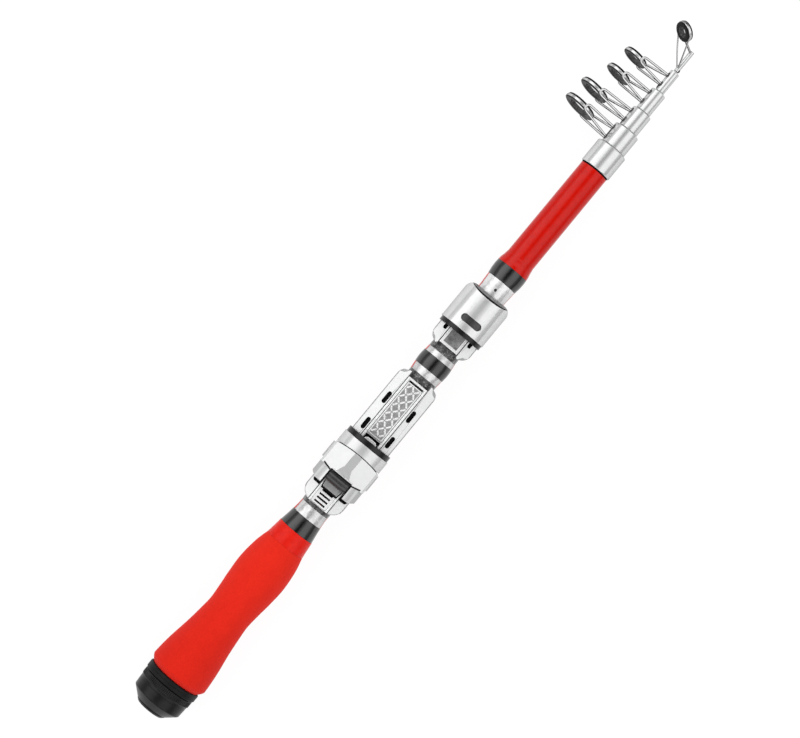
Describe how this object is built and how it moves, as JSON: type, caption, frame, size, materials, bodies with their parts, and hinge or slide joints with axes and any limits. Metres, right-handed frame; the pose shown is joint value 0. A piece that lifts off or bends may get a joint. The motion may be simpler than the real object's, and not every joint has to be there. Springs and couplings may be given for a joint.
{
  "type": "telescopic fishing rod",
  "caption": "Closed telescopic spinning rod: foam grip with screw butt cap, plate reel seat with a sliding lock hood, nested tip sections with wire line guides and a tip-top.",
  "frame": {"origin": "centre of the butt cap's flat end face, on the rod's axis", "axes": "+X along the rod from butt to tip, +Z out of the reel seat where the reel foot lies, +Y the side the guides stand on while the rod is closed"},
  "size_m": [0.3613, 0.0427, 0.0294],
  "materials": {
    "red_lacquer": "gloss",
    "red_foam": "matte",
    "black_lacquer": "gloss",
    "silver_foil": "polished",
    "bright_steel": "polished",
    "satin_steel": "satin",
    "dark_thread": "gloss",
    "black_plastic": "matte",
    "black_gloss_plastic": "gloss",
    "ferrule_alloy": "polished",
    "section_lacquer": "gloss",
    "tip_fibre": "gloss",
    "ceramic_black": "gloss",
    "heel_fibre": "matte",
    "pad_rubber": "matte"
  },
  "bodies": {
    "handle": {"main_blank": "red_lacquer", "main_ferrule": "ferrule_alloy", "butt_collar": "black_plastic", "foam_grip": "red_foam", "grip_collar_red": "red_lacquer", "rear_band_black": "black_lacquer", "rear_band_silver": "silver_foil", "rear_seat_wrap": "dark_thread", "seat_plate": "bright_steel", "ladder_strip": "bright_steel", "plate_inset": "satin_steel", "seat_saddle": "black_plastic", "mid_wrap_a": "dark_thread", "mid_band_silver_a": "silver_foil", "mid_band_black": "black_lacquer", "mid_band_silver_b": "silver_foil", "mid_wrap_b": "dark_thread", "front_plate": "bright_steel", "front_inset": "satin_steel", "front_saddle": "black_plastic", "front_hood": "bright_steel", "front_hood_liner": "black_gloss_plastic", "front_band_silver": "silver_foil", "front_band_black": "black_lacquer", "front_collar_red": "red_lacquer"},
    "cap_carrier": {"rattle_pad": "pad_rubber"},
    "screw_cap": {"butt_cap": "black_plastic"},
    "hood": {"slide_hood": "bright_steel", "slide_hood_collar": "bright_steel", "slide_hood_liner": "black_gloss_plastic", "lever_pin": "bright_steel", "lever_spring": "satin_steel"},
    "lock_lever": {"lever_drum": "black_gloss_plastic", "lever_tongue": "bright_steel"},
    "heel_2": {"section_2_heel": "heel_fibre"},
    "section_2": {"section_2_tube": "section_lacquer", "section_2_ferrule": "ferrule_alloy", "guide_1_frame": "bright_steel", "guide_1_insert": "ceramic_black"},
    "heel_3": {"section_3_heel": "heel_fibre"},
    "section_3": {"section_3_tube": "section_lacquer", "section_3_ferrule": "ferrule_alloy", "guide_2_frame": "bright_steel", "guide_2_insert": "ceramic_black"},
    "heel_4": {"section_4_heel": "heel_fibre"},
    "section_4": {"section_4_tube": "section_lacquer", "section_4_ferrule": "ferrule_alloy", "guide_3_frame": "bright_steel", "guide_3_insert": "ceramic_black"},
    "heel_5": {"section_5_heel": "heel_fibre"},
    "section_5": {"section_5_tube": "section_lacquer", "section_5_ferrule": "ferrule_alloy", "guide_4_frame": "bright_steel", "guide_4_insert": "ceramic_black"},
    "heel_6": {"tip_heel": "heel_fibre"},
    "section_6": {"tip_rod": "tip_fibre", "tip_top_frame": "bright_steel", "tip_top_insert": "ceramic_black"}
  },
  "joints": [
    {"name": "section_2_slide", "type": "slide", "parent": "handle", "child": "heel_2", "axis": [1, 0, 0], "range_m": [0, 0.228]},
    {"name": "section_2_twist", "type": "hinge", "parent": "heel_2", "child": "section_2", "pos_m": [0.2, 0, 0], "axis": [1, 0, 0], "continuous": true},
    {"name": "section_3_slide", "type": "slide", "parent": "section_2", "child": "heel_3", "axis": [1, 0, 0], "range_m": [0, 0.228]},
    {"name": "section_3_twist", "type": "hinge", "parent": "heel_3", "child": "section_3", "pos_m": [0.2, 0, 0], "axis": [1, 0, 0], "continuous": true},
    {"name": "section_4_slide", "type": "slide", "parent": "section_3", "child": "heel_4", "axis": [1, 0, 0], "range_m": [0, 0.228]},
    {"name": "section_4_twist", "type": "hinge", "parent": "heel_4", "child": "section_4", "pos_m": [0.2, 0, 0], "axis": [1, 0, 0], "continuous": true},
    {"name": "section_5_slide", "type": "slide", "parent": "section_4", "child": "heel_5", "axis": [1, 0, 0], "range_m": [0, 0.228]},
    {"name": "section_5_twist", "type": "hinge", "parent": "heel_5", "child": "section_5", "pos_m": [0.2, 0, 0], "axis": [1, 0, 0], "continuous": true},
    {"name": "section_6_slide", "type": "slide", "parent": "section_5", "child": "heel_6", "axis": [1, 0, 0], "range_m": [0, 0.228]},
    {"name": "section_6_twist", "type": "hinge", "parent": "heel_6", "child": "section_6", "pos_m": [0.2, 0, 0], "axis": [1, 0, 0], "continuous": true},
    {"name": "hood_slide", "type": "slide", "parent": "handle", "child": "hood", "axis": [1, 0, 0], "range_m": [-0.006, 0.022]},
    {"name": "lever_rock", "type": "hinge", "parent": "hood", "child": "lock_lever", "pos_m": [0.1233, 0, 0.012], "axis": [0, 1, 0], "range_deg": [0, 25], "stiffness_Nm_per_rad": 0.02, "springref_deg": -17.19},
    {"name": "cap_travel", "type": "slide", "parent": "handle", "child": "cap_carrier", "axis": [-1, 0, 0], "range_m": [0, 0.0071]},
    {"name": "cap_turn", "type": "hinge", "parent": "cap_carrier", "child": "screw_cap", "pos_m": [0, 0, 0], "axis": [-1, 0, 0], "range_deg": [0, 1800]}
  ],
  "couplings": [
    {"joint": "cap_travel", "follows": "cap_turn", "m_per_rad": 0.00022282}
  ]
}
